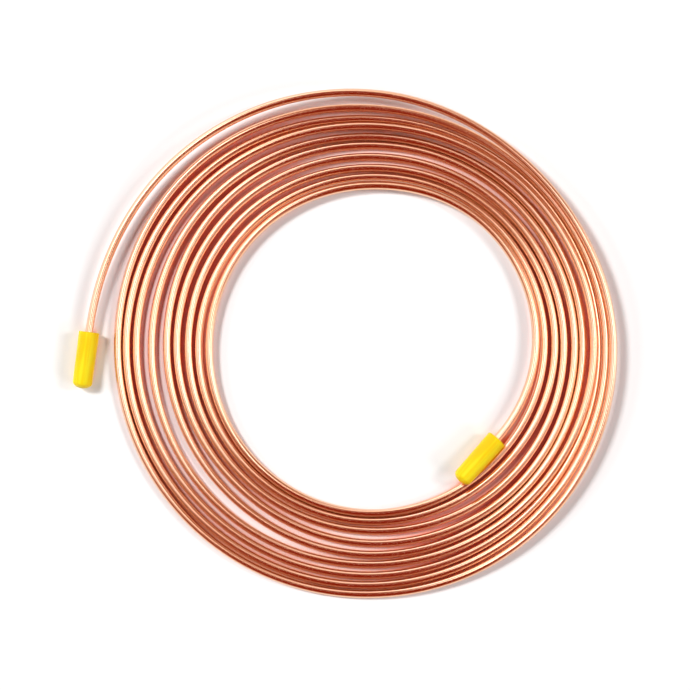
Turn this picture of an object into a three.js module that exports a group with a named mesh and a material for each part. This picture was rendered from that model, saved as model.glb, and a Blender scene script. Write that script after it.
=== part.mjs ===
// A loose flat coil of soft copper tube with a plastic cap pushed over each end.
// Millimetres, +Z up. The coil lies on the plane z = 0 and winds counter-clockwise
// outwards, seen from above. The origin is under the middle of its outline.

import * as THREE from 'three';

// The tube
const TUBE_DIAMETER = 4.76;
const TUBE_WALL = 0.71;

// The winding
const INNER_TURN_RADIUS = 98;
const TURN_CLEARANCE = 0.3;

// The end caps
const CAP_DIAMETER = 12.4;
const CAP_LENGTH = 34.4;
const CAP_SOCKET_DEPTH = 30;
const CAP_CLEARANCE = 0.3;
const CAP_DRAFT = THREE.MathUtils.degToRad(0.6);
const CAP_DOME_HEIGHT = 3.6;
const CAP_MOUTH_CHAMFER = 0.7;

// How finely the round forms are faceted
const STEPS_PER_TURN = 40;
const TUBE_SIDES = 8;
const BORE_SIDES = 6;
const CAP_SIDES = 32;
const DOME_STEPS = 6;

const TUBE_RADIUS = TUBE_DIAMETER / 2;
const CAP_RADIUS = CAP_DIAMETER / 2;
const CAP_BODY_LENGTH = CAP_LENGTH - CAP_DOME_HEIGHT;
const DOME_RADIUS = CAP_RADIUS - CAP_BODY_LENGTH * Math.tan(CAP_DRAFT);
const TUBE_CORNER_RADIUS = TUBE_RADIUS / Math.cos(Math.PI / TUBE_SIDES);
const SOCKET_RADIUS = TUBE_CORNER_RADIUS + CAP_CLEARANCE;
const UP = new THREE.Vector3(0, 0, 1);

// One lay is the space that the tube takes beside or on top of itself
const LAY = TUBE_DIAMETER + TURN_CLEARANCE;

// The turns were laid by hand and lie unevenly. Turns are counted from the bearing of -Y,
// and each list below gives the coil's form at eight places to the turn, in that order.
const PLACES_PER_TURN = 8;
const FULL_TURN = 2 * Math.PI;
const START_BEARING = THREE.MathUtils.degToRad(-90);
const INNER_END_BEARING = THREE.MathUtils.degToRad(-35.6);
const OUTER_END_BEARING = THREE.MathUtils.degToRad(177);
const LAP_COUNT = 9;
const INNER_END = turnsAt(INNER_END_BEARING);
const OUTER_END = turnsAt(OUTER_END_BEARING) + LAP_COUNT;

// How far the innermost turn lies outside its nominal radius, in lays
const INNER_TURN_SWING = [-2.23, -0.71, 0.72, 0.90, -0.06, -0.28, -0.32, 0.07];

// Plan distance from each turn to the next one out, in lays: 1 lies against its neighbour
// and less than 1 lies over it. The last row leads to the free outer end.
const TURN_SPACING = [
    [2.88, 1.75, 1.10, 0.90, 1.07, 1.09, 1.31, 1.03],
    [1.00, 1.20, 1.26, 1.05, 1.12, 1.45, 1.24, 1.17],
    [1.14, 1.55, 1.10, 1.10, 1.32, 1.43, 1.36, 1.20],
    [1.46, 1.31, 1.28, 1.32, 1.36, 1.45, 1.21, 1.46],
    [1.37, 1.03, 1.01, 1.00, 1.04, 1.34, 1.83, 1.87],
    [1.20, 1.10, 1.23, 1.16, 1.26, 1.61, 1.83, 1.38],
    [1.31, 1.07, 0.64, 0.68, 0.90, 1.21, 1.20, 1.28],
    [1.17, 0.98, 0.82, 0.70, 1.28, 1.38, 1.06, 1.15],
    [1.08, 1.09, 0.80, 0.68, 1.65, 1.99, 3.53, 6.66],
];

// Stretches that leave the plane, in lays above it: the inner end held up by its cap,
// and three stretches that cross over other turns
const RAISED_STRETCHES = [
    { fromTurn: 0, lays: [3.00, 1.05, 0.62, 0.60, 0.60, 0.60, 0.50, 0.20] },
    { fromTurn: 6.125, lays: [0.36, 0.86, 0.80, 0.50, 0.10] },
    { fromTurn: 8.125, lays: [0.44, 0.72, 0.80, 0.30] },
    { fromTurn: 9.125, lays: [0.78, 1.42, 1.64, 1.50, 1.25] },
];

const COPPER = new THREE.MeshStandardMaterial({ color: 0xc9683f, roughness: 0.28, metalness: 1 });
const YELLOW_PLASTIC = new THREE.MeshStandardMaterial({ color: 0xf7cf12, roughness: 0.45, metalness: 0 });

// Number of turns from the start of the winding to a bearing, in its first lap
function turnsAt(bearing) {
    return (bearing - START_BEARING) / FULL_TURN;
}

// Plan radius at each place of the winding, from the inner end outwards
function placeRadii() {
    const radii = INNER_TURN_SWING.map((swing) => INNER_TURN_RADIUS + swing * LAY);
    for (const spacing of TURN_SPACING.flat()) {
        radii.push(radii[radii.length - PLACES_PER_TURN] + spacing * LAY);
    }
    return radii;
}

// Height of the tube's axis at each place. The outer end lies at the height of its cap's axis.
function placeHeights(count) {
    const heights = new Array(count).fill(TUBE_RADIUS);
    for (const { fromTurn, lays } of RAISED_STRETCHES) {
        lays.forEach((lift, step) => {
            heights[fromTurn * PLACES_PER_TURN + step] += lift * LAY;
        });
    }
    return heights.fill(CAP_RADIUS, Math.ceil(OUTER_END * PLACES_PER_TURN));
}

// A smooth course through the places: x is the number of turns, y the radius, z the height
function windingCourse() {
    const radii = placeRadii();
    const heights = placeHeights(radii.length);
    const places = radii.map((radius, index) => {
        return new THREE.Vector3(index / PLACES_PER_TURN, radius, heights[index]);
    });
    return new THREE.CatmullRomCurve3(places, false, 'catmullrom', 0.5);
}

const COURSE = windingCourse();

// The point of the tube's axis after a number of turns
function axisPoint(turns) {
    const lastPlace = COURSE.points[COURSE.points.length - 1].x;
    const place = COURSE.getPoint(turns / lastPlace);
    const bearing = START_BEARING + turns * FULL_TURN;
    const height = Math.max(place.z, TUBE_RADIUS);
    return new THREE.Vector3(place.y * Math.cos(bearing), place.y * Math.sin(bearing), height);
}

// The way the tube runs after a number of turns, outwards along the winding
function axisDirection(turns) {
    const reach = 0.1 / STEPS_PER_TURN;
    return axisPoint(turns + reach).sub(axisPoint(turns - reach)).normalize();
}

// A cap's place: the middle of its mouth, and the way it points
function capPlace(mouth, direction, tilt) {
    const along = direction.clone().setZ(0).normalize().multiplyScalar(Math.cos(tilt));
    return { mouth, along: along.addScaledVector(UP, Math.sin(tilt)) };
}

// The outer cap lies on the plane
function outerCapPlace() {
    const mouth = axisPoint(OUTER_END).setZ(CAP_RADIUS);
    return capPlace(mouth, axisDirection(OUTER_END), 0);
}

// The inner cap leans the end of its body on the next lap of the tube, which passes under it
function innerCapPlace() {
    const mouth = axisPoint(INNER_END);
    const backwards = axisDirection(INNER_END).negate();
    const bodyEnd = mouth.clone().addScaledVector(backwards, CAP_BODY_LENGTH);
    const beneath = axisPoint(turnsAt(Math.atan2(bodyEnd.y, bodyEnd.x)) + 1);
    const aside = Math.hypot(beneath.x, beneath.y) - Math.hypot(bodyEnd.x, bodyEnd.y);
    const apart = DOME_RADIUS + TUBE_CORNER_RADIUS + CAP_CLEARANCE;
    const endHeight = beneath.z + Math.sqrt(apart ** 2 - aside ** 2);
    return capPlace(mouth, backwards, Math.asin((endHeight - mouth.z) / CAP_BODY_LENGTH));
}

const INNER_CAP = innerCapPlace();
const OUTER_CAP = outerCapPlace();

// The tube's whole axis: straight inside each cap, and along the winding between them
class TubeAxis extends THREE.Curve {
    constructor() {
        super();
        const lead = CAP_SOCKET_DEPTH - CAP_CLEARANCE;
        this.stops = [INNER_CAP.mouth.clone().addScaledVector(INNER_CAP.along, lead)];
        this.directions = [INNER_CAP.along.clone().negate()];
        for (const turns of this.turnStops()) {
            this.stops.push(axisPoint(turns));
            this.directions.push(axisDirection(turns));
        }
        this.stops.push(OUTER_CAP.mouth, OUTER_CAP.mouth.clone().addScaledVector(OUTER_CAP.along, lead));
        this.directions.push(OUTER_CAP.along, OUTER_CAP.along);
        this.steps = this.stops.length - 1;
    }

    // Neighbouring turns have their stops at the same bearings, so that their facets line up
    turnStops() {
        const stops = [INNER_END];
        const first = Math.floor(INNER_END * STEPS_PER_TURN) + 1;
        for (let step = first; step < OUTER_END * STEPS_PER_TURN; step++) {
            stops.push(step / STEPS_PER_TURN);
        }
        return stops;
    }

    getUtoTmapping(u) {
        return u;
    }

    getPoint(t, target = new THREE.Vector3()) {
        return target.copy(this.stops[Math.round(t * this.steps)]);
    }

    // The section never rolls: its flats stay underneath, on top and upright at the sides
    computeFrenetFrames() {
        const normals = this.directions.map((along) => along.clone().cross(UP).normalize());
        const binormals = this.directions.map((along, index) => along.clone().cross(normals[index]));
        return { tangents: this.directions, normals, binormals };
    }
}

// Corners of a regular polygon that measures a given radius to its flats, with a flat on top
function flatTopped(radius, sides) {
    const corners = [];
    for (let side = 0; side < sides; side++) {
        const angle = (side + 0.5) * 2 * Math.PI / sides + Math.PI / 2;
        const reach = radius / Math.cos(Math.PI / sides);
        corners.push(new THREE.Vector2(reach * Math.cos(angle), reach * Math.sin(angle)));
    }
    return corners;
}

function tubeGeometry() {
    const axis = new TubeAxis();
    const section = new THREE.Shape(flatTopped(TUBE_RADIUS, TUBE_SIDES));
    section.holes.push(new THREE.Path(flatTopped(TUBE_RADIUS - TUBE_WALL, BORE_SIDES)));
    return new THREE.ExtrudeGeometry(section, { steps: axis.steps, extrudePath: axis });
}

// Half section of a cap, from the bottom of its socket round the mouth to the closed end.
// The mouth is at y = 0.
function capProfile() {
    const profile = [
        new THREE.Vector2(0, CAP_SOCKET_DEPTH),
        new THREE.Vector2(SOCKET_RADIUS, CAP_SOCKET_DEPTH),
        new THREE.Vector2(SOCKET_RADIUS, CAP_MOUTH_CHAMFER),
        new THREE.Vector2(SOCKET_RADIUS + CAP_MOUTH_CHAMFER, 0),
        new THREE.Vector2(CAP_RADIUS - CAP_MOUTH_CHAMFER, 0),
        new THREE.Vector2(CAP_RADIUS, CAP_MOUTH_CHAMFER),
    ];
    for (let step = 0; step < DOME_STEPS; step++) {
        const angle = step / DOME_STEPS * Math.PI / 2;
        const height = CAP_BODY_LENGTH + CAP_DOME_HEIGHT * Math.sin(angle);
        profile.push(new THREE.Vector2(DOME_RADIUS * Math.cos(angle), height));
    }
    profile.push(new THREE.Vector2(0, CAP_LENGTH));
    return profile;
}

function capMesh(name, { mouth, along }) {
    const mesh = new THREE.Mesh(new THREE.LatheGeometry(capProfile(), CAP_SIDES), YELLOW_PLASTIC);
    const across = along.clone().cross(UP).normalize();
    const basis = new THREE.Matrix4().makeBasis(across, along, across.clone().cross(along));
    mesh.name = name;
    mesh.position.copy(mouth);
    mesh.quaternion.setFromRotationMatrix(basis);
    return mesh;
}

function tubeMesh(name) {
    const mesh = new THREE.Mesh(tubeGeometry(), COPPER);
    mesh.name = name;
    return mesh;
}

// Puts the middle of the coil's outline over the origin
function centred(coil) {
    const middle = new THREE.Box3().setFromObject(coil, true).getCenter(new THREE.Vector3());
    coil.position.set(-middle.x, -middle.y, 0);
    return new THREE.Group().add(coil);
}

const coil = new THREE.Group();
coil.add(tubeMesh('copper_tube'));
coil.add(capMesh('inner_end_cap', INNER_CAP));
coil.add(capMesh('outer_end_cap', OUTER_CAP));

export default centred(coil);
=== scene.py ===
"""A loose flat coil of soft copper tube with a yellow cap pushed over each end, in a small studio.

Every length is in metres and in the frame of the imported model: +Z up, with the coil lying on the
plane z = 0. The winding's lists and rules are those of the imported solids, so that the drawn tube
runs through them.
"""

import logging
import math
from dataclasses import dataclass, field
from enum import Enum

import bpy
import numpy as np
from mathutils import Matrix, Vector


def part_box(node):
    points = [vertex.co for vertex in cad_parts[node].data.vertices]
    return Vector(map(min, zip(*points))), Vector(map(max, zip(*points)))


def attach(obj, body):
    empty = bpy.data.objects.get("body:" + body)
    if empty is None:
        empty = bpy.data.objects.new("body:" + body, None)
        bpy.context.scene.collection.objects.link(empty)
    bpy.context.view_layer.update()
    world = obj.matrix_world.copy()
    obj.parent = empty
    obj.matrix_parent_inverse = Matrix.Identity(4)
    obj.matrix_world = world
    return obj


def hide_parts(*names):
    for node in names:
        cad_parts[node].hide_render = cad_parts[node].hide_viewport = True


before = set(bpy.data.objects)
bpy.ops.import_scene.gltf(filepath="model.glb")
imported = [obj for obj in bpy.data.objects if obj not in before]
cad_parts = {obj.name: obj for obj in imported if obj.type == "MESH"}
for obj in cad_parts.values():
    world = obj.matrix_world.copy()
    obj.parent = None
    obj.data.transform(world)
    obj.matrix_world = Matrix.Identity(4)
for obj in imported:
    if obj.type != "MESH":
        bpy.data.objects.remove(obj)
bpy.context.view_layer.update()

Colour = tuple[float, float, float, float]
Triple = tuple[float, float, float]
Pair = tuple[float, float]

BODY = "root"
UP = np.array([0.0, 0.0, 1.0])
LEVEL = (1.0, 1.0, 0.0)
WHITE = (1.0, 1.0, 1.0, 1.0)
NOISE_MIDDLE = 0.5
MAIN_LIGHT_AZIMUTH = 149.0
BAKE_MAP = "OFBake"
COORDS = "tube_coords"
CAP_COORDS = "cap_coords"
RUN = "tube_run"
ALONG = "along"
SECTION = "section"
LOG = logging.getLogger("copper_coil")


class Slot(Enum):
    """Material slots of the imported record."""

    COPPER = "copper"
    YELLOW_PLASTIC = "yellow_plastic"


class Node(Enum):
    """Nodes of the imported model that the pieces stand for."""

    TUBE = "copper_tube"
    INNER_CAP = "inner_end_cap"
    OUTER_CAP = "outer_end_cap"


# ---------------------------------------------------------------- node trees


class Wiring:
    """Adds and joins the nodes of one tree."""

    def __init__(self, tree: bpy.types.NodeTree) -> None:
        """Keeps the tree that it fills."""
        self.tree = tree

    def add(self, kind: str, inputs: dict | None = None, **settings: object) -> bpy.types.Node:
        """Adds a node.

        Args:
            kind: Blender's name of the node type.
            inputs: For each input's name or number, a value, or an output socket to join to it.
            **settings: Properties of the node.

        Returns:
            The new node.
        """
        node = self.tree.nodes.new(kind)
        for name, value in settings.items():
            setattr(node, name, value)
        for key, value in (inputs or {}).items():
            socket = node.inputs[key]
            if isinstance(value, bpy.types.NodeSocket):
                self.tree.links.new(value, socket)
            else:
                socket.default_value = value
        return node

    def join(self, source: bpy.types.NodeSocket, target: bpy.types.NodeSocket) -> None:
        """Joins an output to an input."""
        self.tree.links.new(source, target)

    def maths(self, operation: str, *values: object) -> bpy.types.NodeSocket:
        """Adds a Math node on numbers or sockets and returns its result."""
        return self.add("ShaderNodeMath", dict(enumerate(values)), operation=operation).outputs[0]

    def vectors(self, operation: str, *values: object) -> bpy.types.NodeSocket:
        """Adds a Vector Math node and returns its result, whether a vector or a number."""
        outputs = self.add("ShaderNodeVectorMath", dict(enumerate(values)), operation=operation).outputs
        return outputs["Value" if operation in ("DOT_PRODUCT", "LENGTH") else "Vector"]

    def ramp(self, value: bpy.types.NodeSocket, low: float, high: float,
             to_low: float = 0.0, to_high: float = 1.0) -> bpy.types.NodeSocket:
        """Maps a range of a value smoothly onto another range.

        Args:
            value: The socket to map.
            low: The value that gives to_low.
            high: The value that gives to_high.
            to_low: The result at and below low.
            to_high: The result at and above high.

        Returns:
            The socket of the result.
        """
        limits = {"Value": value, "From Min": low, "From Max": high, "To Min": to_low, "To Max": to_high}
        mapped = self.add("ShaderNodeMapRange", limits, interpolation_type="SMOOTHSTEP")
        return mapped.outputs["Result"]

    def noise(self, place: bpy.types.NodeSocket, cells: Triple,
              detail: float = 2.0, shift: float = 0.0) -> bpy.types.NodeSocket:
        """Adds a noise pattern.

        Args:
            place: The vector that the pattern is read at.
            cells: Cells per metre along each axis of the vector.
            detail: How many finer layers the pattern has.
            shift: A shift that keeps one pattern apart from another.

        Returns:
            The socket of the pattern's value, which is NOISE_MIDDLE on average.
        """
        moved = self.add("ShaderNodeMapping", {
            "Vector": place, "Location": (shift,) * 3, "Scale": cells})
        pattern = {"Vector": moved.outputs[0], "Scale": 1.0, "Detail": detail, "Roughness": 0.55}
        return self.add("ShaderNodeTexNoise", pattern).outputs[0]

    def blend(self, share: bpy.types.NodeSocket, first: object, second: object) -> bpy.types.NodeSocket:
        """Mixes two colours by a share and returns the colour."""
        mixed = self.add("ShaderNodeMix", {0: share, 6: first, 7: second}, data_type="RGBA")
        return mixed.outputs[2]


def new_material(name: str) -> tuple[bpy.types.Material, Wiring, bpy.types.Node]:
    """Makes a material that holds only its output node.

    Args:
        name: The material's name.

    Returns:
        The material, the wiring of its tree and its output node.
    """
    material = bpy.data.materials.new(name)
    material.use_nodes = True
    material.node_tree.nodes.clear()
    wiring = Wiring(material.node_tree)
    return material, wiring, wiring.add("ShaderNodeOutputMaterial")


# ---------------------------------------------------------------- the winding


@dataclass(frozen=True)
class CapSizes:
    """Sizes of an end cap.

    The clearance is left at the tube's end and over the lap that the inner cap leans on. All round
    the tube the socket leaves only the grip.
    """

    diameter: float = 0.0124
    length: float = 0.0344
    socket_depth: float = 0.030
    clearance: float = 0.00028
    draft: float = math.radians(0.6)
    dome_height: float = 0.0036
    rim_radius: float = 0.0006
    mouth_chamfer: float = 0.0007
    grip: float = 0.00004
    sides: int = 96

    @property
    def radius(self) -> float:
        """Radius of the body at the mouth."""
        return self.diameter / 2

    @property
    def body_length(self) -> float:
        """Length from the mouth to the foot of the dome."""
        return self.length - self.dome_height

    @property
    def dome_radius(self) -> float:
        """Radius at the foot of the dome, which the draft leaves."""
        return self.radius - self.body_length * math.tan(self.draft)


@dataclass(frozen=True)
class CapPlace:
    """Where a cap sits: the middle of its mouth, and the way to its closed end."""

    mouth: np.ndarray
    along: np.ndarray


@dataclass(frozen=True)
class Winding:
    """Course of the tube's axis, from the inner end outwards.

    Turns are counted from the bearing of -Y. The lists give the course at eight places to the
    turn, in lays: one lay is the space that the tube takes beside or on top of itself. The first
    list says how far the innermost turn swings out of its round, and each row of the second how far
    a turn lies outside the turn before. A raised stretch has the turn that it starts at, and how far
    its places are lifted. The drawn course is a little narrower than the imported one, which has
    flats that cut its bends short.
    """

    cap: CapSizes
    tube_diameter: float = 0.00476
    tube_wall: float = 0.00071
    turn_clearance: float = 0.0003
    inner_turn_radius: float = 0.098
    places_per_turn: int = 8
    start_bearing: float = math.radians(-90)
    inner_end_bearing: float = math.radians(-35.6)
    outer_end_bearing: float = math.radians(177)
    lap_count: int = 9
    steps_per_turn: int = 180
    drawn_share: float = 0.9989
    chord_reach: float = 0.0025
    packed_sides: int = 8
    inner_turn_swing: tuple[float, ...] = (-2.23, -0.71, 0.72, 0.90, -0.06, -0.28, -0.32, 0.07)
    turn_spacing: tuple[tuple[float, ...], ...] = (
        (2.88, 1.75, 1.10, 0.90, 1.07, 1.09, 1.31, 1.03),
        (1.00, 1.20, 1.26, 1.05, 1.12, 1.45, 1.24, 1.17),
        (1.14, 1.55, 1.10, 1.10, 1.32, 1.43, 1.36, 1.20),
        (1.46, 1.31, 1.28, 1.32, 1.36, 1.45, 1.21, 1.46),
        (1.37, 1.03, 1.01, 1.00, 1.04, 1.34, 1.83, 1.87),
        (1.20, 1.10, 1.23, 1.16, 1.26, 1.61, 1.83, 1.38),
        (1.31, 1.07, 0.64, 0.68, 0.90, 1.21, 1.20, 1.28),
        (1.17, 0.98, 0.82, 0.70, 1.28, 1.38, 1.06, 1.15),
        (1.08, 1.09, 0.80, 0.68, 1.65, 1.99, 3.53, 6.66),
    )
    raised_stretches: tuple[tuple[float, tuple[float, ...]], ...] = (
        (0.0, (3.00, 1.05, 0.62, 0.60, 0.60, 0.60, 0.50, 0.20)),
        (6.125, (0.36, 0.86, 0.80, 0.50, 0.10)),
        (8.125, (0.44, 0.72, 0.80, 0.30)),
        (9.125, (0.78, 1.42, 1.64, 1.50, 1.25)),
    )

    @property
    def tube_radius(self) -> float:
        """Outer radius of the tube."""
        return self.tube_diameter / 2

    @property
    def lay(self) -> float:
        """The space that the tube takes beside or on top of itself."""
        return self.tube_diameter + self.turn_clearance

    @property
    def inner_end(self) -> float:
        """Turns at the mouth of the inner cap."""
        return self.turns_at(self.inner_end_bearing)

    @property
    def outer_end(self) -> float:
        """Turns at the mouth of the outer cap."""
        return self.turns_at(self.outer_end_bearing) + self.lap_count

    def turns_at(self, bearing: float) -> float:
        """Turns from the start of the winding to a bearing, in its first lap."""
        return (bearing - self.start_bearing) / math.tau

    def place_radii(self) -> np.ndarray:
        """Adds the spacings up, turn by turn.

        Returns:
            The plan radius at each place of the winding.
        """
        radii = [self.inner_turn_radius + swing * self.lay for swing in self.inner_turn_swing]
        for row in self.turn_spacing:
            radii += [radii[step - self.places_per_turn] + spacing * self.lay
                      for step, spacing in enumerate(row)]
        return np.array(radii)

    def place_heights(self) -> np.ndarray:
        """Lays the tube on the plane, lifts its raised stretches and ends it at the outer cap's height.

        Returns:
            The height of the tube's axis at each place of the winding.
        """
        count = self.places_per_turn * (1 + len(self.turn_spacing))
        heights = np.full(count, self.tube_radius)
        for from_turn, lifts in self.raised_stretches:
            first = round(from_turn * self.places_per_turn)
            heights[first:first + len(lifts)] += np.array(lifts) * self.lay
        heights[math.ceil(self.outer_end * self.places_per_turn):] = self.cap.radius
        return heights

    def smooth(self, values: np.ndarray, turns: np.ndarray) -> np.ndarray:
        """Runs a Catmull-Rom curve through one value of the places.

        Args:
            values: The value at each place.
            turns: The turns at which the curve is read.

        Returns:
            The curve's value at each of the turns.
        """
        ends = 2 * values[0] - values[1], 2 * values[-1] - values[-2]
        known = np.concatenate([[ends[0]], values, [ends[1]]])
        place = turns * self.places_per_turn
        index = np.clip(np.floor(place).astype(int), 0, len(values) - 2)
        t = place - index
        before, start, end, after = (known[index + step] for step in range(4))
        return (start + (end - before) / 2 * t + (before - 2.5 * start + 2 * end - after / 2) * t ** 2
                + (1.5 * (start - end) + (after - before) / 2) * t ** 3)

    def points(self, turns: np.ndarray) -> np.ndarray:
        """Finds the axis about the coil's own centre. It nowhere sinks into the plane.

        Args:
            turns: The turns at which it is read.

        Returns:
            Its points, one row for each of the turns.
        """
        radius = self.smooth(self.place_radii(), turns) * self.drawn_share
        height = np.maximum(self.smooth(self.place_heights(), turns), self.tube_radius)
        bearing = self.start_bearing + turns * math.tau
        return np.stack([radius * np.cos(bearing), radius * np.sin(bearing), height], axis=1)

    def point(self, turns: float) -> np.ndarray:
        """The point of the axis after a number of turns."""
        return self.points(np.array([turns]))[0]

    def direction(self, turns: float) -> np.ndarray:
        """The way that the tube runs after a number of turns, outwards along the winding."""
        chord = self.point(turns + self.chord_reach) - self.point(turns - self.chord_reach)
        return chord / np.linalg.norm(chord)

    @staticmethod
    def leaning(direction: np.ndarray, tilt: float) -> np.ndarray:
        """A direction with its slope replaced by a tilt above the level."""
        level = direction * LEVEL
        return level / np.linalg.norm(level) * math.cos(tilt) + UP * math.sin(tilt)

    def inner_cap(self) -> CapPlace:
        """Leans the end of the inner cap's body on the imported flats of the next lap.

        Returns:
            The inner cap's place.
        """
        mouth = self.point(self.inner_end)
        backwards = -self.direction(self.inner_end)
        body_end = mouth + backwards * self.cap.body_length
        beneath = self.point(self.turns_at(math.atan2(body_end[1], body_end[0])) + 1)
        aside = math.hypot(*beneath[:2]) - math.hypot(*body_end[:2])
        corner = self.tube_radius / math.cos(math.pi / self.packed_sides)
        apart = self.cap.dome_radius + corner + self.cap.clearance
        rise = beneath[2] + math.sqrt(apart ** 2 - aside ** 2) - mouth[2]
        return CapPlace(mouth, self.leaning(backwards, math.asin(rise / self.cap.body_length)))

    def outer_cap(self) -> CapPlace:
        """The outer cap's place: it lies on the plane."""
        mouth = self.point(self.outer_end) * LEVEL + UP * self.cap.radius
        return CapPlace(mouth, self.leaning(self.direction(self.outer_end), 0.0))

    def axis(self) -> np.ndarray:
        """Joins the course and the straight stretches inside the caps.

        Returns:
            The points of the whole axis, about the coil's own centre.
        """
        lead = self.cap.socket_depth - self.cap.clearance
        inner, outer = self.inner_cap(), self.outer_cap()
        count = round((self.outer_end - self.inner_end) * self.steps_per_turn)
        course = self.points(np.linspace(self.inner_end, self.outer_end, count))
        course[-1] = outer.mouth
        tips = inner.mouth + inner.along * lead, outer.mouth + outer.along * lead
        return np.vstack([tips[0], course, tips[1]])

    def shift(self) -> np.ndarray:
        """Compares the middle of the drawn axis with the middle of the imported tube, on plan.

        Returns:
            The shift from the coil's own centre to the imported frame.
        """
        drawn = self.axis()
        middle = (drawn.min(axis=0) + drawn.max(axis=0)) / 2
        return (np.mean(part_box(Node.TUBE.value), axis=0) - middle) * LEVEL


# ---------------------------------------------------------------- finishes


@dataclass(frozen=True)
class CopperFinish:
    """Bright drawn copper with fine lengthwise draw lines and light marks from coiling.

    Each pattern has its cells per metre, first along the tube and then across it, and the limits
    between which it takes effect.
    """

    name: str = "drawn_copper"
    bright: Colour = (0.93, 0.64, 0.46, 1)
    warm: Colour = (0.91, 0.60, 0.40, 1)
    edge_tint: Colour = (1.0, 0.72, 0.58, 1)
    patch_cells: Triple = (22.0, 90.0, 90.0)
    patch_limits: Pair = (0.34, 0.68)
    line_cells: Triple = (9.0, 2600.0, 2600.0)
    line_limits: Pair = (0.35, 0.65)
    line_height: float = 0.0000025
    rub_cells: Triple = (160.0, 420.0, 420.0)
    rub_limits: Pair = (0.52, 0.72)
    rub_share: float = 0.5
    roughness: Pair = (0.155, 0.205)
    spread: float = 0.50
    quarter_turn: float = 0.25
    waver_cells: Triple = (17.0, 1.0, 1.0)
    waver: float = 0.22

    def material(self) -> bpy.types.Material:
        """Builds the copper.

        Returns:
            The material. It reads the coordinates and the direction that the tube's mesh keeps.
        """
        material, wiring, output = new_material(self.name)
        place = wiring.add("ShaderNodeAttribute", attribute_name=COORDS).outputs["Vector"]
        run = wiring.add("ShaderNodeAttribute", attribute_name=RUN).outputs["Vector"]
        split = wiring.add("ShaderNodeSeparateXYZ", {"Vector": place}).outputs
        patches = wiring.noise(place, self.patch_cells, detail=3.0)
        lines = wiring.noise(place, self.line_cells, detail=3.0, shift=4.0)
        rubs = wiring.noise(place, self.rub_cells, detail=4.0, shift=9.0)
        tint = wiring.ramp(patches, *self.patch_limits)
        drawn = wiring.maths("MULTIPLY", wiring.ramp(lines, *self.line_limits), 1 - self.rub_share)
        wear = wiring.maths("MULTIPLY_ADD", wiring.ramp(rubs, *self.rub_limits), self.rub_share, drawn)
        along = wiring.add("ShaderNodeCombineXYZ", {"X": split["X"]}).outputs[0]
        slow = wiring.noise(along, self.waver_cells, detail=1.0, shift=2.0)
        lean = wiring.maths("MULTIPLY", wiring.maths("SUBTRACT", slow, NOISE_MIDDLE), split["Y"])
        ridges = wiring.maths("MULTIPLY", lines, self.line_height)
        height = wiring.maths("MULTIPLY_ADD", lean, self.waver, ridges)
        relief = {"Strength": 1.0, "Distance": 1.0, "Height": height}
        metal = wiring.add("ShaderNodeBsdfPrincipled", {
            "Base Color": wiring.blend(tint, self.bright, self.warm),
            "Metallic": 1.0,
            "Roughness": wiring.ramp(wear, 0.0, 1.0, *self.roughness),
            "Specular Tint": self.edge_tint,
            "Anisotropic": self.spread,
            "Anisotropic Rotation": self.quarter_turn,
            "Tangent": run,
            "Normal": wiring.add("ShaderNodeBump", relief).outputs[0],
        })
        wiring.join(metal.outputs[0], output.inputs["Surface"])
        return material


@dataclass(frozen=True)
class PlasticFinish:
    """Soft moulded plastic with a satin skin.

    Each pattern has its cells per metre, twice across the cap and then along it, and its limits.
    """

    name: str = "yellow_plastic"
    body: Colour = (0.96, 0.68, 0.008, 1)
    deep: Colour = (0.96, 0.60, 0.006, 1)
    light: Colour = (0.98, 0.77, 0.02, 1)
    cloud_cells: Triple = (90.0, 90.0, 60.0)
    cloud_limits: Pair = (0.35, 0.65)
    streak_cells: Triple = (620.0, 620.0, 26.0)
    streak_limits: Pair = (0.48, 0.72)
    grain_cells: Triple = (2600.0, 2600.0, 2600.0)
    grain_limits: Pair = (0.2, 0.8)
    roughness: Pair = (0.40, 0.50)
    depth: float = 0.005
    depth_tint: Triple = (1.0, 0.75, 0.08)
    skin_height: float = 0.00004

    def material(self) -> bpy.types.Material:
        """Builds the plastic.

        Returns:
            The material. It reads the coordinates that each cap's mesh keeps.
        """
        material, wiring, output = new_material(self.name)
        place = wiring.add("ShaderNodeAttribute", attribute_name=CAP_COORDS).outputs["Vector"]
        clouds = wiring.noise(place, self.cloud_cells, detail=1.0)
        streaks = wiring.noise(place, self.streak_cells, shift=6.0)
        grain = wiring.noise(place, self.grain_cells, shift=3.0)
        shade = wiring.blend(wiring.ramp(clouds, *self.cloud_limits), self.body, self.deep)
        relief = {"Strength": 0.35, "Distance": self.skin_height, "Height": grain}
        plastic = wiring.add("ShaderNodeBsdfPrincipled", {
            "Base Color": wiring.blend(wiring.ramp(streaks, *self.streak_limits), shade, self.light),
            "Roughness": wiring.ramp(grain, *self.grain_limits, *self.roughness),
            "IOR": 1.48,
            "Specular IOR Level": 0.3,
            "Subsurface Weight": 0.8,
            "Subsurface Radius": self.depth_tint,
            "Subsurface Scale": self.depth,
            "Normal": wiring.add("ShaderNodeBump", relief).outputs[0],
        })
        wiring.join(plastic.outputs[0], output.inputs["Surface"])
        return material


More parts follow.
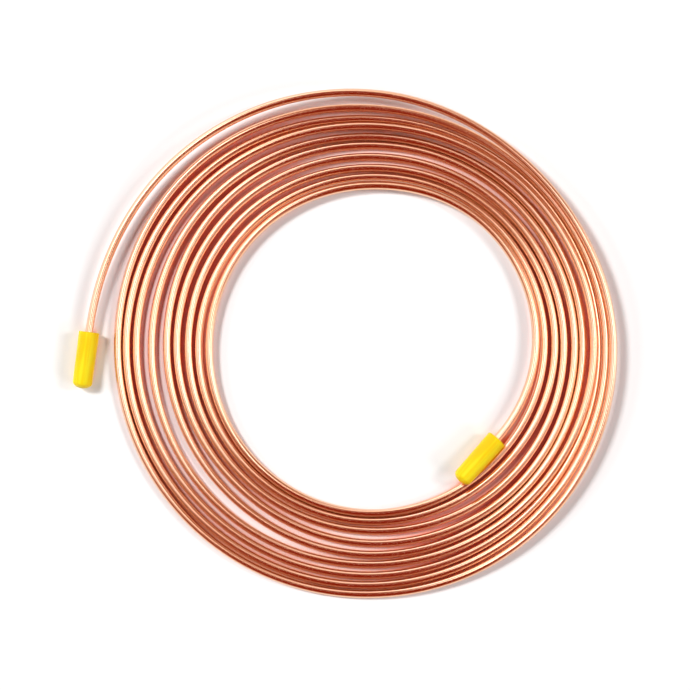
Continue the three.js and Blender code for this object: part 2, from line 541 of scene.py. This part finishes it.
@dataclass(frozen=True)
class FloorFinish:
    """White studio floor that keeps the shadows. Between the turns its colour is painted with shade,
    red-brown like light bounced between the copper walls, and paler where the main light runs down the
    gaps.

    The pair painted_shade_clear says how open the floor is where the painted shade ends: first where
    the gaps between turns run along the main light, and then where they run across it.
    """

    name: str = "white_floor"
    white: Colour = (0.94, 0.94, 0.94, 1)
    # Painted shade between the turns: red-brown colours for shade and copper bounce light, the second
    # where the main light runs down the gaps.
    painted_gap_shade: Colour = (1.0, 0.19, 0.02, 1)
    painted_lit_gap_shade: Colour = (0.73, 0.20, 0.04, 1)
    light_azimuth: float = MAIN_LIGHT_AZIMUTH
    light_limits: Pair = (0.25, 0.75)
    painted_shade_reach: float = 0.010
    painted_shade_shut: float = 0.16
    painted_shade_clear: Pair = (0.47, 0.62)
    lift: Pair = (0.01, 1.0)
    far: Pair = (0.35, 1.6)

    def across_light(self, wiring: Wiring, place: bpy.types.NodeSocket) -> bpy.types.NodeSocket:
        """Tells how far a gap between turns runs across the main light, which its walls then keep out.
        This sets the colour and the reach of the painted shade between the turns.

        Args:
            wiring: The wiring of the floor's tree.
            place: The socket of the floor's own coordinates.

        Returns:
            The socket of a share: 1 where the gaps run across the light and 0 where they run along it.
        """
        azimuth = math.radians(self.light_azimuth)
        light = (math.cos(azimuth), math.sin(azimuth), 0.0)
        facing = wiring.vectors("DOT_PRODUCT", wiring.vectors("NORMALIZE", place), light)
        return wiring.ramp(wiring.maths("MULTIPLY", facing, facing), *self.light_limits)

    def material(self) -> bpy.types.Material:
        """Builds the floor's white, with painted shade between the turns.

        Returns:
            The material. To the camera and to mirrors it lifts itself to full white far from the coil.
        """
        material, wiring, output = new_material(self.name)
        rays = wiring.add("ShaderNodeLightPath").outputs
        seen = wiring.maths("MAXIMUM", rays["Is Camera Ray"], rays["Is Glossy Ray"])
        seen = wiring.maths("MAXIMUM", seen, rays["Is Transmission Ray"])
        place = wiring.add("ShaderNodeTexCoord").outputs["Object"]
        lift = wiring.ramp(wiring.vectors("LENGTH", place), *self.far, *self.lift)
        glow = wiring.add("ShaderNodeEmission", {
            "Color": WHITE, "Strength": wiring.maths("MULTIPLY", seen, lift)})
        # Painted shade: where the AO node finds the floor shut in between turns, its colour is painted
        # red-brown.
        openness = wiring.add("ShaderNodeAmbientOcclusion", {"Distance": self.painted_shade_reach}, samples=8)
        shade = self.across_light(wiring, place)
        clear = wiring.ramp(shade, 0.0, 1.0, *self.painted_shade_clear)
        share = wiring.ramp(openness.outputs["AO"], self.painted_shade_shut, clear)
        # Colour of the painted shade, paler where the gaps run along the main light.
        tint = wiring.blend(shade, self.painted_lit_gap_shade, self.painted_gap_shade)
        white = wiring.add("ShaderNodeBsdfDiffuse", {"Color": wiring.blend(share, tint, self.white)})
        both = wiring.add("ShaderNodeAddShader", {0: white.outputs[0], 1: glow.outputs[0]})
        wiring.join(both.outputs[0], output.inputs["Surface"])
        return material


# ---------------------------------------------------------------- the tube


@dataclass
class TubeCoil:
    """The coiled tube, drawn by Geometry Nodes along the winding.

    In the bake map a face is skin if all of it stands at skin_share of the tube's radius or more.
    """

    winding: Winding
    finish: CopperFinish = field(default_factory=CopperFinish)
    name: str = "drawn_copper_tube"
    sides: int = 32
    bore_sides: int = 16
    weld: float = 1e-6
    bake_strips: int = 24
    bake_margin: float = 0.002
    bake_slack: float = 1.03
    bake_inset: float = 0.005
    skin_share: float = 0.99

    def sweep_tree(self) -> bpy.types.NodeTree:
        """Builds the node tree that sweeps the hollow section along a run of edges.

        Returns:
            The tree. Its inputs are the run, the two radii, the two counts of sides and the metal.
        """
        tree = bpy.data.node_groups.new("hollow_tube_sweep", "GeometryNodeTree")
        sockets = (("Run", "Geometry"), ("Tube Radius", "Float"), ("Bore Radius", "Float"),
                   ("Sides", "Int"), ("Bore Sides", "Int"), ("Metal", "Material"))
        for label, kind in sockets:
            tree.interface.new_socket(label, in_out="INPUT", socket_type=f"NodeSocket{kind}")
        tree.interface.new_socket("Tube", in_out="OUTPUT", socket_type="NodeSocketGeometry")
        wiring = Wiring(tree)
        given = wiring.add("NodeGroupInput").outputs
        run = self.upright_run(wiring, given["Run"])
        outer = self.ring(wiring, given["Sides"], given["Tube Radius"])
        bore = self.ring(wiring, given["Bore Sides"], given["Bore Radius"])
        wall = wiring.add("GeometryNodeCurveToMesh", {"Curve": run, "Profile Curve": outer})
        hollow = wiring.add("GeometryNodeCurveToMesh", {"Curve": run, "Profile Curve": bore})
        inside = wiring.add("GeometryNodeFlipFaces", {"Mesh": hollow.outputs[0]})
        sides = wiring.add("GeometryNodeJoinGeometry")
        wiring.join(wall.outputs[0], sides.inputs[0])
        wiring.join(inside.outputs[0], sides.inputs[0])
        rounded = wiring.add("GeometryNodeSetShadeSmooth", {"Geometry": sides.outputs[0]})
        closed = wiring.add("GeometryNodeJoinGeometry")
        wiring.join(rounded.outputs[0], closed.inputs[0])
        for factor, facing in ((0.0, -1.0), (1.0, 1.0)):
            wiring.join(self.cut_face(wiring, run, (outer, bore), factor, facing), closed.inputs[0])
        welded = wiring.add("GeometryNodeMergeByDistance", {
            "Geometry": closed.outputs[0], "Distance": self.weld})
        real = wiring.add("GeometryNodeRealizeInstances", {"Geometry": welded.outputs[0]})
        dressed = wiring.add("GeometryNodeSetMaterial", {
            "Geometry": real.outputs[0], "Material": given["Metal"]})
        wiring.add("NodeGroupOutput", {"Tube": dressed.outputs[0]})
        return tree

    @staticmethod
    def upright_run(wiring: Wiring, edges: bpy.types.NodeSocket) -> bpy.types.NodeSocket:
        """Turns the edges into a curve that never rolls and that knows its length and direction.

        Args:
            wiring: The tree's wiring.
            edges: The socket of the run of edges.

        Returns:
            The socket of the curve.
        """
        curve = wiring.add("GeometryNodeMeshToCurve", {"Mesh": edges})
        upright = wiring.add("GeometryNodeSetCurveNormal", {"Curve": curve.outputs[0]}, mode="Z_UP")
        length = wiring.add("GeometryNodeSplineParameter").outputs["Length"]
        measured = wiring.add("GeometryNodeStoreNamedAttribute", {
            "Geometry": upright.outputs[0], "Name": ALONG, "Value": length},
            data_type="FLOAT", domain="POINT")
        tangent = wiring.add("GeometryNodeInputTangent").outputs[0]
        directed = wiring.add("GeometryNodeStoreNamedAttribute", {
            "Geometry": measured.outputs[0], "Name": RUN, "Value": tangent},
            data_type="FLOAT_VECTOR", domain="POINT")
        return directed.outputs[0]

    @staticmethod
    def ring(wiring: Wiring, sides: bpy.types.NodeSocket,
             radius: bpy.types.NodeSocket) -> bpy.types.NodeSocket:
        """Makes a circle whose points keep their place in the section as an attribute.

        Args:
            wiring: The tree's wiring.
            sides: The socket of its count of sides.
            radius: The socket of its radius.

        Returns:
            The socket of the circle.
        """
        circle = wiring.add("GeometryNodeCurvePrimitiveCircle", {"Resolution": sides, "Radius": radius})
        place = wiring.add("GeometryNodeInputPosition").outputs[0]
        kept = wiring.add("GeometryNodeStoreNamedAttribute", {
            "Geometry": circle.outputs[0], "Name": SECTION, "Value": place},
            data_type="FLOAT_VECTOR", domain="POINT")
        return kept.outputs[0]

    @staticmethod
    def cut_face(wiring: Wiring, run: bpy.types.NodeSocket, rings: tuple[bpy.types.NodeSocket, ...],
                 factor: float, facing: float) -> bpy.types.NodeSocket:
        """Makes the flat ring that closes the wall at one end of the run.

        Args:
            wiring: The tree's wiring.
            run: The socket of the curve of the tube's axis.
            rings: The sockets of the outer circle and of the bore's circle.
            factor: 0 at the start of the run and 1 at its end.
            facing: 1 where the ring faces along the run, and -1 where it faces back.

        Returns:
            The socket of the ring.
        """
        both = wiring.add("GeometryNodeJoinGeometry")
        for ring in rings:
            wiring.join(ring, both.inputs[0])
        disc = wiring.add("GeometryNodeFillCurve", {"Curve": both.outputs[0]})
        flat = disc.outputs[0]
        if facing < 0:
            flat = wiring.add("GeometryNodeFlipFaces", {"Mesh": flat}).outputs[0]
        end = wiring.add("GeometryNodeSampleCurve", {"Curves": run, "Factor": factor}, mode="FACTOR")
        turn = wiring.add("FunctionNodeAxesToRotation", {
            "Primary Axis": end.outputs["Tangent"], "Secondary Axis": end.outputs["Normal"]},
            primary_axis="Z", secondary_axis="X")
        placed = wiring.add("GeometryNodeTransform", {
            "Geometry": flat, "Translation": end.outputs["Position"], "Rotation": turn.outputs[0]})
        return placed.outputs[0]

    def sweep(self) -> bpy.types.Mesh:
        """Sweeps the tube along the winding, on a host that is then taken away.

        Returns:
            The tube's mesh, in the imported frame.
        """
        points = self.winding.axis() + self.winding.shift()
        run = bpy.data.meshes.new("tube_run")
        run.from_pydata(points.tolist(), [(step, step + 1) for step in range(len(points) - 1)], [])
        host = bpy.data.objects.new("tube_run", run)
        bpy.context.scene.collection.objects.link(host)
        tree = self.sweep_tree()
        sweep = host.modifiers.new("sweep", "NODES")
        sweep.node_group = tree
        values = {"Tube Radius": self.winding.tube_radius,
                  "Bore Radius": self.winding.tube_radius - self.winding.tube_wall,
                  "Sides": self.sides, "Bore Sides": self.bore_sides,
                  "Metal": self.finish.material()}
        for item in tree.interface.items_tree:
            if item.in_out == "INPUT" and item.name in values:
                sweep[item.identifier] = values[item.name]
        depsgraph = bpy.context.evaluated_depsgraph_get()
        mesh = bpy.data.meshes.new_from_object(
            host.evaluated_get(depsgraph), preserve_all_data_layers=True, depsgraph=depsgraph)
        host.modifiers.clear()
        bpy.data.objects.remove(host)
        return mesh

    def build(self) -> bpy.types.Object:
        """Returns:
            The finished piece.
        """
        mesh = self.sweep()
        mesh.name = self.name
        self.store_coords(mesh)
        self.lay_out_bake_map(mesh)
        piece = bpy.data.objects.new(self.name, mesh)
        bpy.context.scene.collection.objects.link(piece)
        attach(piece, BODY)
        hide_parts(Node.TUBE.value)
        return piece

    @staticmethod
    def read_points(mesh: bpy.types.Mesh, name: str, width: int) -> np.ndarray:
        """Reads a point attribute of a mesh.

        Args:
            mesh: The mesh.
            name: The attribute's name.
            width: 3 for a vector and 1 for a number.

        Returns:
            Its values, one row for each vertex.
        """
        data = np.zeros(len(mesh.vertices) * width, np.float32)
        mesh.attributes[name].data.foreach_get("vector" if width == 3 else "value", data)
        return data.reshape(-1, width).astype(float)

    def store_coords(self, mesh: bpy.types.Mesh) -> None:
        """Stores the length along the tube and the place in its section as one vector.

        Args:
            mesh: The tube's mesh, which gets the vector as an attribute.
        """
        along = self.read_points(mesh, ALONG, 1)
        section = self.read_points(mesh, SECTION, 3)
        coords = np.hstack([along, section[:, :2]]).astype(np.float32)
        mesh.attributes.new(COORDS, "FLOAT_VECTOR", "POINT").data.foreach_set("vector", coords.ravel())

    @staticmethod
    def read_faces(mesh: bpy.types.Mesh) -> tuple[np.ndarray, np.ndarray, np.ndarray]:
        """Reads how the faces of a mesh are listed.

        Args:
            mesh: The mesh.

        Returns:
            The vertex of each corner, the first corner of each face and its count of corners.
        """
        corners = np.zeros(len(mesh.loops), np.int32)
        mesh.loops.foreach_get("vertex_index", corners)
        starts, totals = np.zeros((2, len(mesh.polygons)), np.int32)
        mesh.polygons.foreach_get("loop_start", starts)
        mesh.polygons.foreach_get("loop_total", totals)
        return corners, starts, totals

    def lay_out_bake_map(self, mesh: bpy.types.Mesh) -> None:
        """Lays the tube's skin out in strips for whoever bakes the finish.

        The skin takes one wide strip for each stretch of the run. The bore and the cut faces, which
        nobody sees, share a narrow band beside them.

        Args:
            mesh: The tube's mesh, which gets the map.
        """
        corners, starts, totals = self.read_faces(mesh)
        face = np.repeat(np.arange(len(starts)), totals)
        along = self.read_points(mesh, ALONG, 1)[:, 0]
        run = along[corners]
        section = self.read_points(mesh, SECTION, 3)[corners]
        angle = np.arctan2(section[:, 1], section[:, 0]) % math.tau
        widest = np.maximum.reduceat(angle, starts)[face]
        turned = np.where(widest - angle > math.pi, angle + math.tau, angle) / math.tau
        middle = (np.add.reduceat(run, starts) / totals)[face]
        reach = along.max() / self.bake_strips
        strip = np.minimum(np.floor(middle / reach), self.bake_strips - 1)
        girth = math.tau * self.winding.tube_radius
        step = girth * (1 + 1 / self.sides) + self.bake_margin
        band = self.bake_strips * step
        nearest = np.minimum.reduceat(np.hypot(section[:, 0], section[:, 1]), starts)[face]
        hidden = nearest < self.winding.tube_radius * self.skin_share
        across = np.where(hidden, band + strip * self.bake_margin + turned * self.bake_margin / 2,
                          strip * step + turned * girth)
        size = max(band + (self.bake_strips + 1) * self.bake_margin, reach * self.bake_slack)
        down = (run - strip * reach) / size + self.bake_inset
        places = np.stack([down, across / size], axis=1).astype(np.float32)
        mesh.uv_layers.new(name=BAKE_MAP).data.foreach_set("uv", places.ravel())


# ---------------------------------------------------------------- the caps


@dataclass
class EndCap:
    """A moulded cap: a drafted body with a rounded rim, a blind socket and a domed closed end.

    The shares of the floor are parts of the socket's radius, and those of the wall and the body are
    parts of the socket's depth and of the body's length.
    """

    sizes: CapSizes
    place: CapPlace
    tube_radius: float
    node: Node
    name: str
    shift: np.ndarray
    floor_ring: float = 0.6
    floor_round: float = 0.2
    floor_steps: int = 3
    wall_share: float = 0.8
    wall_foot: float = 0.003
    wall_rings: int = 6
    mouth_steps: int = 5
    rim_steps: int = 6
    body_share: float = 0.06
    body_rings: int = 8
    dome_steps: int = 14

    @staticmethod
    def arc(middle: Pair, radii: Pair, angles: Pair, steps: int) -> list[Pair]:
        """Points of an elliptic arc in the half section.

        Args:
            middle: Its centre, as radius and height.
            radii: Its half axes, across and along.
            angles: Where it starts and ends, in degrees from outwards.
            steps: How many stretches it has.

        Returns:
            Its points, with both ends.
        """
        turns = np.radians(np.linspace(*angles, steps + 1))
        return [(middle[0] + radii[0] * math.cos(turn), middle[1] + radii[1] * math.sin(turn))
                for turn in turns]

    def half_section(self) -> list[Pair]:
        """Draws the cap's half section, from the bottom of its socket round the mouth to the closed end.

        Returns:
            Its points, as radius and height above the mouth.
        """
        sizes = self.sizes
        depth, rim, chamfer = sizes.socket_depth, sizes.rim_radius, sizes.mouth_chamfer
        socket = self.tube_radius + sizes.grip
        corner = socket * self.floor_round
        points = [(0.0, depth), (socket * self.floor_ring, depth)]
        points += self.arc((socket - corner, depth - corner), (corner, corner),
                           (90, 0), self.floor_steps)
        wall = np.linspace(depth * self.wall_share, self.wall_foot, self.wall_rings)
        points += [(socket, height) for height in wall]
        points += self.arc((socket + chamfer, chamfer), (chamfer, chamfer),
                           (180, 270), self.mouth_steps)
        points += self.arc((sizes.radius - rim, rim), (rim, rim), (-90, 0), self.rim_steps)
        for share in np.linspace(self.body_share, 1.0, self.body_rings + 1)[:-1]:
            height = share * sizes.body_length
            points.append((sizes.radius - height * math.tan(sizes.draft), height))
        points += self.arc((0.0, sizes.body_length), (sizes.dome_radius, sizes.dome_height),
                           (0, 90), self.dome_steps)
        points[-1] = (0.0, sizes.length)
        return points

    def build(self, finish: bpy.types.Material) -> bpy.types.Object:
        """Args:
            finish: The plastic.

        Returns:
            The finished piece.
        """
        along = self.place.along
        across = np.cross(along, UP)
        across /= np.linalg.norm(across)
        upward = np.cross(across, along)
        origin = self.place.mouth + self.shift
        section = self.half_section()
        sides = self.sizes.sides
        places = [(0.0, 0.0, section[0][1])]
        for radius, height in section[1:-1]:
            for side in range(sides):
                angle = side / sides * math.tau
                places.append((radius * math.cos(angle), radius * math.sin(angle), height))
        places.append((0.0, 0.0, section[-1][1]))
        vertices = origin + np.array(places) @ np.stack([across, upward, along])
        mesh = bpy.data.meshes.new(self.name)
        mesh.from_pydata(vertices.tolist(), [], self.faces(len(section) - 2, sides))
        mesh.attributes.new(CAP_COORDS, "FLOAT_VECTOR", "POINT").data.foreach_set(
            "vector", np.array(places, np.float32).ravel())
        mesh.polygons.foreach_set("use_smooth", [True] * len(mesh.polygons))
        mesh.materials.append(finish)
        piece = bpy.data.objects.new(self.name, mesh)
        bpy.context.scene.collection.objects.link(piece)
        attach(piece, BODY)
        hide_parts(self.node.value)
        return piece

    @staticmethod
    def faces(rings: int, sides: int) -> list[tuple[int, ...]]:
        """Faces of a closed lathed shell.

        Args:
            rings: How many rings of vertices stand between its two poles.
            sides: How many vertices a ring has.

        Returns:
            The faces, turned outwards. Vertex 0 is the first pole, and the last is the other.
        """
        faces = []
        last = 1 + rings * sides
        for side in range(sides):
            following = (side + 1) % sides
            faces.append((0, 1 + side, 1 + following))
            for ring in range(rings - 1):
                low, high = 1 + ring * sides, 1 + (ring + 1) * sides
                faces.append((low + side, high + side, high + following, low + following))
            top = 1 + (rings - 1) * sides
            faces.append((top + side, last, top + following))
        return faces


# ---------------------------------------------------------------- the studio


@dataclass(frozen=True)
class Softbox:
    """A soft lamp that looks at the middle of the coil and lights the matt surfaces."""

    name: str
    azimuth: float
    elevation: float
    distance: float
    width: float
    height: float
    brightness: float

    def build(self) -> None:
        """Hangs the lamp. Its power follows from its brightness and its area."""
        light = bpy.data.lights.new(self.name, "AREA")
        light.shape = "RECTANGLE"
        light.size, light.size_y = self.width, self.height
        light.energy = self.brightness * math.pi * self.width * self.height
        lamp = bpy.data.objects.new(self.name, light)
        azimuth, elevation = math.radians(self.azimuth), math.radians(self.elevation)
        lamp.location = (self.distance * math.cos(elevation) * math.cos(azimuth),
                         self.distance * math.cos(elevation) * math.sin(azimuth),
                         self.distance * math.sin(elevation))
        lamp.rotation_euler = (math.pi / 2 - elevation, 0.0, azimuth + math.pi / 2)
        lamp.visible_glossy = False
        bpy.context.scene.collection.objects.link(lamp)


@dataclass(frozen=True)
class Panel:
    """A soft bright patch of the room that the metal reflects.

    Its sharpness says how fast it fades sideways, and its spread how many degrees it reaches up
    and down.
    """

    azimuth: float
    sharpness: float
    elevation: float
    spread: float
    brightness: float

    def glow(self, wiring: Wiring, level: bpy.types.NodeSocket,
             tilt: bpy.types.NodeSocket) -> bpy.types.NodeSocket:
        """Adds the patch's brightness in a direction.

        Args:
            wiring: The wiring of the world's tree.
            level: The level part of the direction, at length 1.
            tilt: The direction's angle from straight up.

        Returns:
            The socket of the brightness.
        """
        azimuth = math.radians(self.azimuth)
        facing = wiring.vectors("DOT_PRODUCT", level, (math.cos(azimuth), math.sin(azimuth), 0.0))
        beside = wiring.maths("MULTIPLY_ADD", facing, self.sharpness, -self.sharpness)
        apart = wiring.maths("SUBTRACT", tilt, math.radians(90 - self.elevation))
        apart = wiring.maths("DIVIDE", apart, math.radians(self.spread))
        above = wiring.maths("MULTIPLY", apart, apart)
        falloff = wiring.maths("EXPONENT", wiring.maths("SUBTRACT", beside, above))
        return wiring.maths("MULTIPLY", falloff, self.brightness)


@dataclass
class Studio:
    """Floor, lamps, surroundings and the camera that looks straight down.

    The width of the view holds at the height view_level.
    """

    floor: FloorFinish = field(default_factory=FloorFinish)
    floor_size: float = 12.0
    room: Colour = (0.070, 0.055, 0.050, 1)
    room_in_gloss: Triple = (0.235, 0.016, 0.003)
    warm_edge: Triple = (0.0, 0.022, 0.070)
    faintest: float = 1e-6
    brightest: float = 5.0
    limit_power: float = 3.0
    bounced: Colour = (1.4, 0.17, 0.02, 1)
    camera_height: float = 1.4
    view_width: float = 0.4191
    view_level: float = 0.0024
    view_centre: Pair = (0.0001, -0.0006)
    sensor: float = 36.0
    lamps: tuple[Softbox, ...] = (
        Softbox("main_light", MAIN_LIGHT_AZIMUTH, 50.5, 4.5, 0.95, 0.95, 52.0),
        Softbox("second_light", 8.0, 40.0, 4.5, 1.1, 1.1, 19.0),
        Softbox("right_fill", -26.0, 32.0, 4.5, 1.6, 1.0, 11.5),
        Softbox("left_fill", 172.0, 32.0, 4.5, 1.6, 1.0, 10.0),
    )
    panels: tuple[Panel, ...] = (
        Panel(142.0, 16.0, 62.0, 7.5, 13.0),
        Panel(5.0, 7.5, 73.0, 6.0, 12.0),
        Panel(120.0, 5.0, 24.0, 12.0, 2.8),
        Panel(4.0, 14.0, 32.0, 18.0, 2.7),
        Panel(172.0, 8.5, 40.0, 70.0, 0.70),
        Panel(-48.0, 22.0, 20.0, 28.0, 0.75),
        Panel(55.0, 19.0, 59.0, 13.0, 0.55),
        Panel(76.0, 32.0, 46.0, 8.5, 1.30),
        Panel(195.0, 7.5, 67.0, 9.5, 1.80),
        Panel(0.0, 0.0, -10.0, 30.0, 0.52),
    )

    def build(self) -> None:
        """Builds everything around the coil."""
        self.build_floor()
        for lamp in self.lamps:
            lamp.build()
        self.build_surroundings()
        self.build_camera()

    def build_floor(self) -> None:
        """Lays the floor in the plane that the coil lies on."""
        half = self.floor_size / 2
        corners = [(-half, -half, 0.0), (half, -half, 0.0), (half, half, 0.0), (-half, half, 0.0)]
        mesh = bpy.data.meshes.new("studio_floor")
        mesh.from_pydata(corners, [], [(0, 1, 2, 3)])
        mesh.materials.append(self.floor.material())
        floor = bpy.data.objects.new("studio_floor", mesh)
        bpy.context.scene.collection.objects.link(floor)

    def build_surroundings(self) -> None:
        """Makes the dim room around the lamps, the panels that gloss mirrors and the white backdrop."""
        world = bpy.data.worlds.new("studio_room")
        world.use_nodes = True
        world.node_tree.nodes.clear()
        wiring = Wiring(world.node_tree)
        rays = wiring.add("ShaderNodeLightPath").outputs
        bounces = wiring.maths("MINIMUM", rays["Diffuse Depth"], 1.0)
        tint = wiring.blend(bounces, WHITE, self.bounced)
        panels = wiring.vectors("ADD", self.room_in_gloss, self.glow(wiring))
        lit = wiring.blend(rays["Is Glossy Ray"], self.room, wiring.vectors("MULTIPLY", panels, tint))
        seen = wiring.blend(rays["Is Camera Ray"], lit, WHITE)
        room = wiring.add("ShaderNodeBackground", {"Color": seen, "Strength": 1.0})
        wiring.add("ShaderNodeOutputWorld", {"Surface": room.outputs[0]})
        world.cycles.sampling_method = "NONE"
        bpy.context.scene.world = world

    def glow(self, wiring: Wiring) -> bpy.types.NodeSocket:
        """Adds up the panels, up to a brightest level, and warms them where they fade.

        Args:
            wiring: The wiring of the world's tree.

        Returns:
            The socket of the colour.
        """
        way = wiring.add("ShaderNodeTexCoord").outputs["Generated"]
        level = wiring.vectors("NORMALIZE", wiring.vectors("MULTIPLY", way, LEVEL))
        tilt = wiring.maths("ARCCOSINE", wiring.add("ShaderNodeSeparateXYZ", {0: way}).outputs["Z"])
        total = self.panels[0].glow(wiring, level, tilt)
        for panel in self.panels[1:]:
            total = wiring.maths("ADD", total, panel.glow(wiring, level, tilt))
        over = wiring.maths("POWER", wiring.maths("DIVIDE", total, self.brightest), self.limit_power)
        over = wiring.maths("POWER", wiring.maths("ADD", over, 1.0), 1 / self.limit_power)
        total = wiring.maths("DIVIDE", total, over)
        square = wiring.maths("MULTIPLY", total, total)
        shares = [wiring.maths("DIVIDE", square, wiring.maths("ADD", square, fade + self.faintest))
                  for fade in self.warm_edge]
        colour = wiring.add("ShaderNodeCombineXYZ", dict(enumerate(shares)))
        return wiring.add("ShaderNodeVectorMath", {0: colour.outputs[0], "Scale": total},
                          operation="SCALE").outputs[0]

    def build_camera(self) -> None:
        """Hangs the camera over the coil. Its lens follows from the width of the view."""
        data = bpy.data.cameras.new("camera_above")
        data.sensor_width = self.sensor
        data.lens = self.sensor * (self.camera_height - self.view_level) / self.view_width
        camera = bpy.data.objects.new("camera_above", data)
        camera.location = (*self.view_centre, self.camera_height)
        bpy.context.scene.collection.objects.link(camera)
        bpy.context.scene.camera = camera


def report(piece: bpy.types.Object) -> None:
    """Logs a piece's name and its count of faces."""
    LOG.info("%s: %d faces", piece.name, len(piece.data.polygons))


def main() -> None:
    """Builds the coil's pieces and the studio."""
    logging.basicConfig(level=logging.INFO, format="%(message)s")
    bpy.context.scene.view_settings.view_transform = "Standard"
    cap = CapSizes()
    winding = Winding(cap)
    report(TubeCoil(winding).build())
    plastic = PlasticFinish().material()
    ends = ((winding.inner_cap(), Node.INNER_CAP, "inner_push_on_cap"),
            (winding.outer_cap(), Node.OUTER_CAP, "outer_push_on_cap"))
    for place, node, name in ends:
        report(EndCap(cap, place, winding.tube_radius, node, name, winding.shift()).build(plastic))
    Studio().build()


if __name__ == "__main__":
    main()
